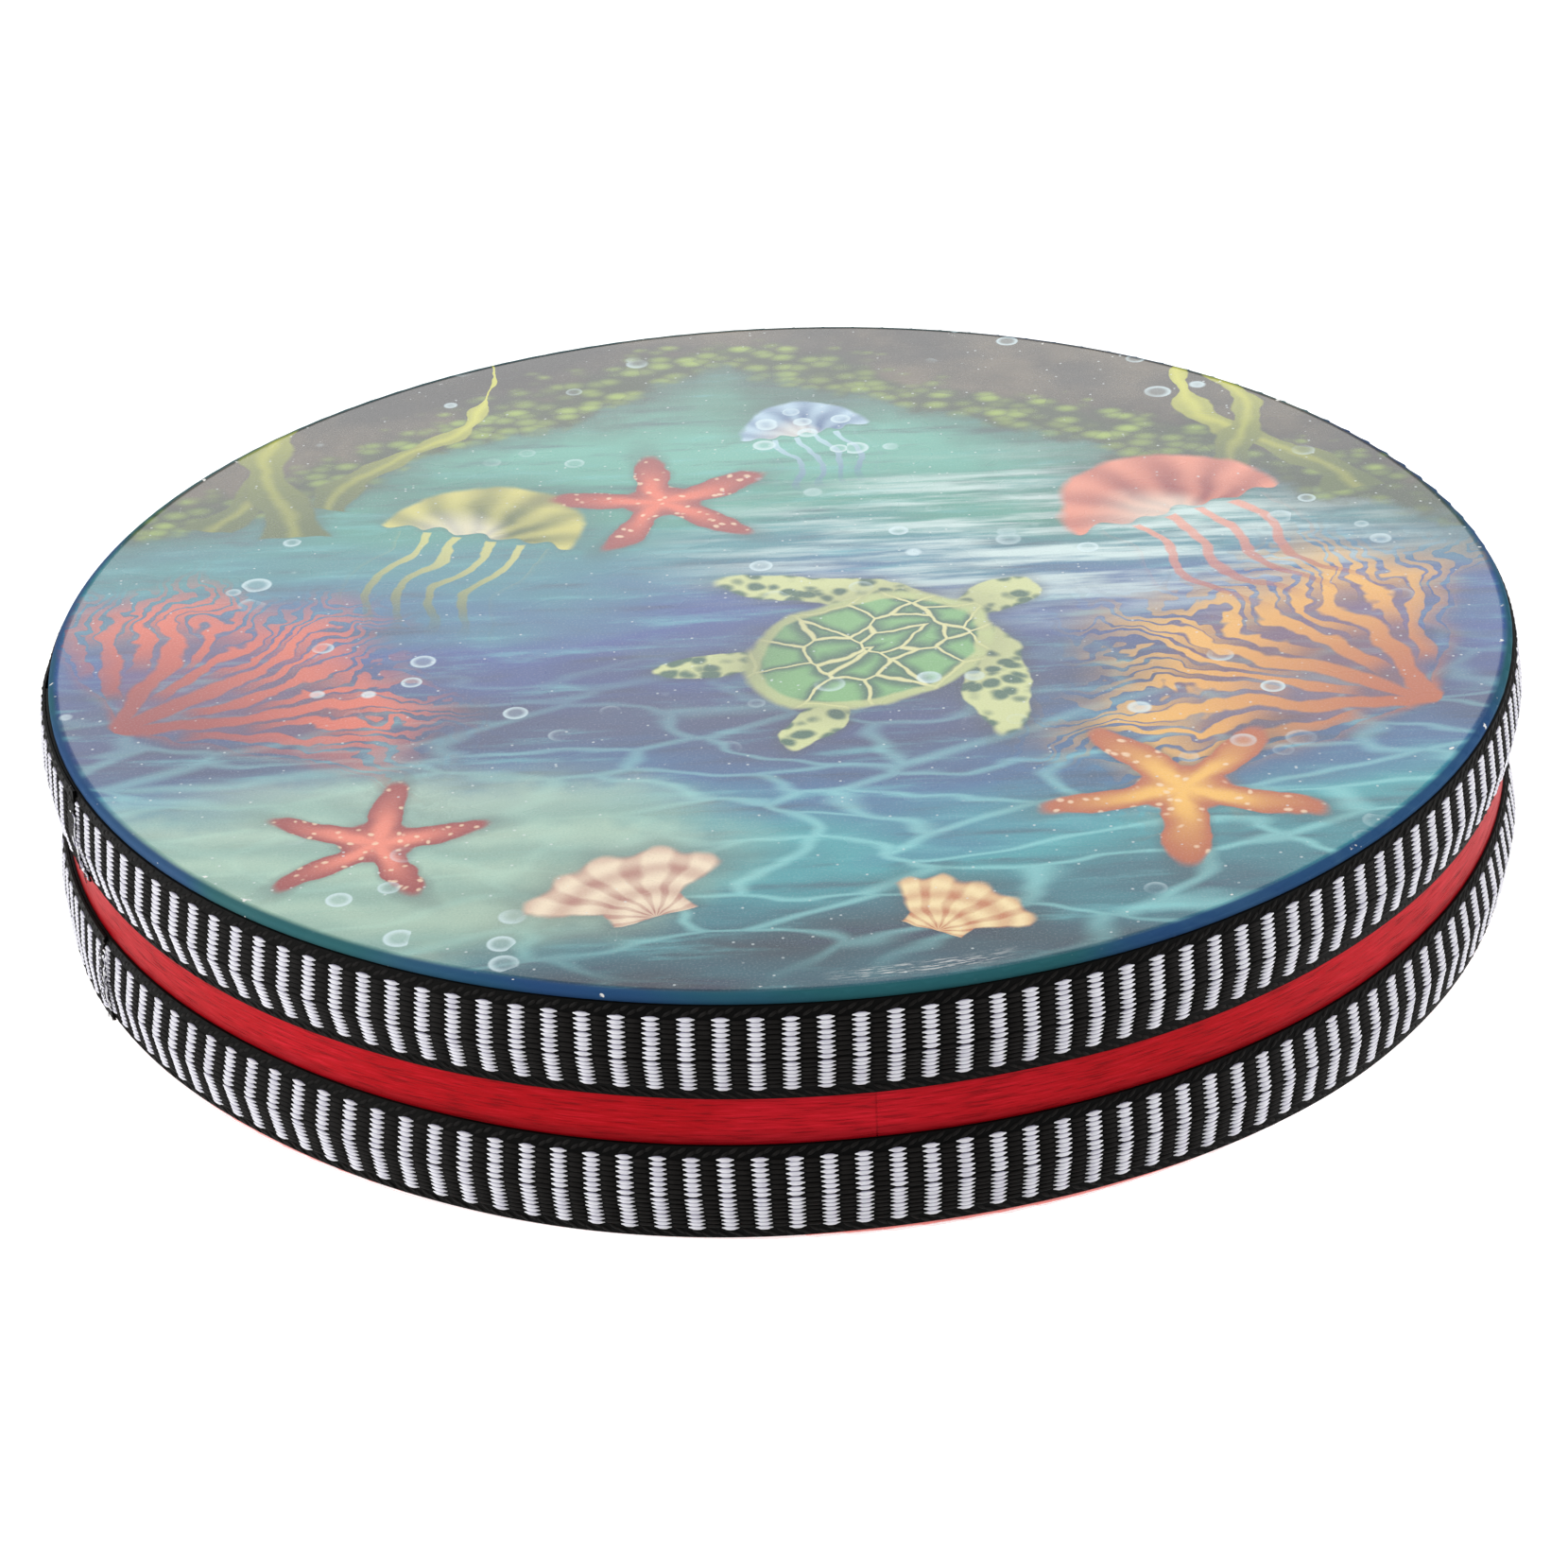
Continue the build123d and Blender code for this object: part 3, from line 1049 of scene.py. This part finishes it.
    def floats(
        self, name: str, length: float, bars: int, start: float, rows: int, first: float, rise: float
    ) -> Object:
        """Models the floats of all bars of one colour.

        Args:
            name: The piece's name.
            length: A float's length.
            bars: How many bars there are.
            start: The middle of the first bar along the strip.
            rows: How many floats a bar has.
            first: The first float's distance from the rim edge.
            rise: How far the floats stand up.

        Returns:
            The floats, wrapped round the drum.
        """
        piece = self.float_shape(name, (length, self.float_pitch, rise), 8)
        group = len(piece.data.vertices)
        repeat(piece, rows, (0, self.float_pitch, 0))
        repeat(piece, bars, (self.bar_pitch, 0, 0))
        height = self.ground_thickness - self.float_sink
        self.lay(piece, (start, first, height), group, self.float_jitter)
        piece.data.name = name
        return piece

    def selvage(self) -> Object:
        """Models the looped edges: two slanting rows of black yarn along each side.

        Returns:
            The edges, wrapped round the drum.
        """
        name = f"{self.stem}_selvage"
        step = self.bar_pitch / 2
        far = self.width / MM
        height = self.ground_thickness - self.loop_sink
        places = (0.72, 1, 0.5), (1.3, 1, 1.0), (far - 1.45, -1, 1.0), (far - 0.9, -1, 0.5)
        rows = []
        for across, way, start in places:
            row = self.float_shape(name, self.loop_size, 5, way * self.loop_turn)
            group = len(row.data.vertices)
            repeat(row, int(self.length / step) - 1, (step, 0, 0))
            self.lay(row, (step * start, across * MM, height), group, self.loop_jitter)
            rows.append(row)
        pick(rows[0])
        for row in rows[1:]:
            row.select_set(True)
        bpy.ops.object.join()
        edges = bpy.context.object
        edges.name = edges.data.name = name
        return edges

    def strands(self, name: str, paths: Sequence[np.ndarray], thick: float) -> Object:
        """Models loose threads.

        Args:
            name: The piece's name.
            paths: Each thread's rows of millimetres past the cut end, from the rim edge and up.
            thick: Their thickness.

        Returns:
            The threads, wrapped round the drum.
        """
        clear_selection()
        bpy.ops.curve.primitive_nurbs_path_add(radius=1.0)
        piece = bpy.context.object
        piece.name = name
        shape = piece.data
        shape.splines.clear()
        for path in paths:
            line = shape.splines.new("NURBS")
            line.points.add(len(path) - 1)
            for point, (along, across, height) in zip(line.points, path):
                point.co = (self.length + along * MM, across * MM, height * MM, 1.0)
            line.order_u = 3
            line.resolution_u = 3
            line.use_endpoint_u = True
        shape.bevel_depth = thick / 2
        shape.bevel_resolution = 1
        shape.use_fill_caps = True
        bpy.ops.object.convert(target="MESH")
        piece = bpy.context.object
        piece.data.name = name
        self.put(piece, points_of(piece))
        bpy.ops.object.shade_smooth_by_angle(angle=math.radians(60))
        return piece

    def fuzz(self) -> list[np.ndarray]:
        """Short curled ends that stick out of the cut end.

        Returns:
            Their paths, as strands takes them.
        """
        paths = []
        for across in np.linspace(0.5, self.width / MM - 0.5, self.fuzz_count):
            steps = self.chance.normal((0.3, 0.0, 0.0), (0.22, 0.3, 0.14), (5, 3))
            path = np.cumsum(steps, axis=0) + (-0.9 + self.chance.uniform(-1.6, 0.2), across, 0.62)
            path[:, 2] = path[:, 2].clip(0.3, 1.2)
            paths.append(path)
        return paths

    def loose_ends(self) -> list[np.ndarray]:
        """Long pale threads along the cut end, and a stray loop on the far side of the upper band.

        Returns:
            Their paths, as strands takes them.
        """
        if self.side is Side.UPPER:
            shapes = (
                ((0.5, 6.0), (1.0, 7.2), (1.1, 8.6), (0.6, 10.4), (0.4, 12.2), (0.5, 13.8), (0.9, 14.9)),
                ((-0.2, 7.6), (0.3, 9.2), (-0.1, 11.0), (0.1, 12.6), (-0.2, 14.4)),
                ((-1.2, 3.6), (-0.2, 3.9), (0.8, 4.5), (1.1, 5.2), (0.7, 5.8)),
                ((1.0, 8.2), (1.5, 8.7), (2.1, 8.9), (2.6, 8.7), (2.8, 8.4)),
                ((0.2, 12.6), (0.7, 13.2), (0.3, 13.9), (0.8, 14.6), (0.4, 15.2)),
                ((-0.4, 13.0), (0.1, 13.6), (0.0, 14.4), (0.5, 15.0), (0.2, 15.5)),
                ((0.9, 13.4), (0.7, 14.0), (1.1, 14.5), (0.9, 15.1), (1.2, 15.5)),
                (
                    (-477.5, 0.5),
                    (-477.4, -0.3),
                    (-477.5, -0.9),
                    (-478.5, -0.9),
                    (-479.6, -0.4),
                    (-480.5, 0.4),
                ),
            )
        else:
            shapes = (
                ((0.2, 10.6), (0.7, 9.4), (0.4, 8.1), (0.7, 6.8), (0.2, 5.2), (0.4, 3.8)),
                ((-0.4, 9.2), (0.1, 8.0), (0.0, 6.4), (0.4, 4.8), (0.1, 3.2), (0.3, 2.2)),
                ((0.6, 14.2), (1.2, 13.7), (1.4, 12.9), (0.8, 12.5), (0.4, 13.0)),
                ((0.1, 12.8), (0.8, 12.0), (1.0, 11.2), (0.5, 10.4), (0.8, 9.6)),
                ((0.6, 8.8), (0.2, 7.6), (0.5, 6.0), (0.3, 4.6), (0.6, 3.4)),
            )
        paths = []
        for shape in shapes:
            flat = np.array(shape)
            lift = 0.95 if flat[0, 0] < -100 else 0.55
            height = lift + 0.18 * np.sin(np.arange(len(flat)) * 1.9 + len(paths))
            paths.append(np.column_stack([flat, height]))
        return paths

    def build(self) -> None:
        """Builds, dresses and places the whole band."""
        stem, pitch, rows = self.stem, self.bar_pitch, self.float_rows
        white_bars, dark_bars = self.fit.white_bars, self.bar_count - 1
        white, first = self.white_length, self.fit.first_float
        dark, between = pitch - white * self.bare_share, first + self.float_pitch / 2
        ground = self.ground()
        bars = self.floats(f"{stem}_bars", white, white_bars, pitch / 2, rows, first, self.float_rise)
        gaps = self.floats(f"{stem}_gaps", dark, dark_bars, pitch, rows - 1, between, self.gap_rise)
        selvage = self.selvage()
        fuzz = self.strands(f"{stem}_fuzz", self.fuzz(), self.fuzz_thickness)
        ends = self.strands(f"{stem}_ends", self.loose_ends(), self.thread_thickness)
        yarns = self.black, self.white, self.black, self.black, self.loose, self.white
        for piece, yarn in zip((ground, bars, gaps, selvage, fuzz, ends), yarns):
            settle(piece, yarn)
        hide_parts(f"{self.side.value}_band")


class Shell:
    """The hoop, heads, staples and beads, which keep their CAD shapes."""

    def dress(self) -> None:
        """Gives each CAD node its finish."""
        _, (radius, _, top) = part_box("upper_head")
        zinc = Steel("staple_zinc", (0.58, 0.58, 0.57, 1), (0.36, 0.35, 0.33, 1), 0.34, 900.0)
        polished = Steel("bead_steel", (0.68, 0.68, 0.7, 1), (0.44, 0.43, 0.43, 1), 0.12, 500.0)
        finishes = {
            "red_wood": PaintedWood().make(),
            "printed_film": SeaPrint(radius, top).make(),
            "clear_film": ClearFilm().make(),
            "staple_steel": zinc.make(),
            "bead_steel": polished.make(),
        }
        for part in frame["record"]["subparts"]:
            node = frame["nodes"][part["node"]]
            finish = finishes.get(part["material_slot"])
            if finish:
                for slot in node.material_slots:
                    slot.material = finish
                LOG.info("%s: %s", part["node"], finish.name)


@dataclass
class Studio:
    """The pale floor, soft lights and the camera."""

    focal_pixels: float = 4196.0
    elevation: float = math.radians(28.34)
    roll: float = math.radians(2.71)
    distance: float = 0.698
    offset: tuple[float, float] = (2.1, 63.5)
    look_drop: float = 23.0 * MM
    sensor: float = 36.0
    light_aim: Triple = (0.0, 0.0, 20.0 * MM)
    floor_side: float = 8.0
    floor_tones: tuple[Colour, Colour] = ((0.3, 0.3, 0.3, 1.0), (0.27, 0.27, 0.27, 1.0))
    floor_glow: float = 0.95
    air_glow: float = 0.16
    panels: tuple[tuple[str, Triple, tuple[float, float], float], ...] = (
        ("left", (-1.55, -0.5, 0.8), (1.3, 1.1), 31.0),
        ("right", (1.6, -0.25, 0.8), (1.3, 1.1), 27.0),
        ("top", (0.0, 0.6, 1.8), (1.4, 1.0), 11.0),
        ("back", (0.0, 1.7, 0.66), (2.8, 0.9), 17.0),
    )

    def camera(self) -> None:
        """Places the camera at the photo's viewing angle."""
        centre = Vector((0.0, 0.0, CAD_BOX[1][2] - self.look_drop))
        back = Vector((0.0, -math.cos(self.elevation), math.sin(self.elevation)))
        pan, tilt = (math.atan(part / self.focal_pixels) for part in self.offset)
        turn = Matrix.Translation(centre + back * self.distance)
        for angle, axis in ((math.pi / 2 - self.elevation, "X"), (pan, "Y"), (-tilt, "X"), (-self.roll, "Z")):
            turn = turn @ Matrix.Rotation(angle, 4, axis)
        data = bpy.data.cameras.new("photo_camera")
        data.sensor_width = self.sensor
        data.lens = self.sensor * self.focal_pixels / IMAGE_SIDE
        data.clip_start = 0.01
        camera = bpy.data.objects.new("photo_camera", data)
        bpy.context.scene.collection.objects.link(camera)
        camera.matrix_world = turn
        bpy.context.scene.camera = camera

    def floor(self) -> None:
        """Lays a wide, nearly white floor."""
        clear_selection()
        bpy.ops.mesh.primitive_plane_add(size=self.floor_side, location=(0, 0, -0.2 * MM))
        plane = bpy.context.object
        plane.name = "floor"
        board = Board("pale_floor")
        x, y, _ = board.place()
        cloud = board.noise(board.vector(x, y), 3.0, 2.0)
        board.set(Base_Color=board.mix(*self.floor_tones, cloud), Roughness=0.9)
        board.set(Emission_Color=WHITE, Emission_Strength=self.floor_glow)
        plane.data.materials.append(board.material)

    def panel(self, name: str, place: Triple, size: tuple[float, float], power: float) -> None:
        """Hangs a soft light that faces the drum.

        Args:
            name: The light's name.
            place: Where it hangs.
            size: Its width and height.
            power: Its power in watts.
        """
        data = bpy.data.lights.new(name, "AREA")
        data.shape = "RECTANGLE"
        data.size, data.size_y = size
        data.energy = power
        lamp = bpy.data.objects.new(name, data)
        bpy.context.scene.collection.objects.link(lamp)
        aim = Vector(self.light_aim) - Vector(place)
        lamp.matrix_world = Matrix.Translation(place) @ aim.to_track_quat("-Z", "Y").to_matrix().to_4x4()
        lamp.visible_camera = False

    def build(self) -> None:
        """Sets up the whole studio."""
        scene = bpy.context.scene
        scene.view_settings.view_transform = "Standard"
        scene.view_settings.look = "None"
        world = bpy.data.worlds.new("studio_air")
        world.use_nodes = True
        air = world.node_tree.nodes["Background"].inputs
        air["Color"].default_value = WHITE
        air["Strength"].default_value = self.air_glow
        scene.world = world
        self.floor()
        for name, place, size, power in self.panels:
            self.panel(name, place, size, power)
        self.camera()


def main() -> None:
    """Builds the drum's looks and notes both boxes."""
    logging.basicConfig(level=logging.INFO, format="%(message)s")
    Studio().build()
    Shell().dress()
    # Each yarn's second colour also carries painted light and shade along its floats, and its third is
    # painted shade on their flanks.
    yarns = (
        Yarn("white_yarn", ink(246, 246, 247), ink(186, 184, 198), ink(112, 106, 136), 0.42, 0.1, 0.35),
        Yarn("black_yarn", ink(5, 5, 4), ink(34, 32, 31), ink(1, 1, 1), 0.46, 0.0, 0.26, 1.2),
        Yarn("loose_yarn", ink(44, 42, 42), ink(92, 90, 90), ink(30, 28, 28), 0.6, 0.1),
    )
    white, black, loose = (yarn.make() for yarn in yarns)
    for side in Side:
        Webbing(side, white, black, loose).build()


if __name__ == "__main__":
    main()
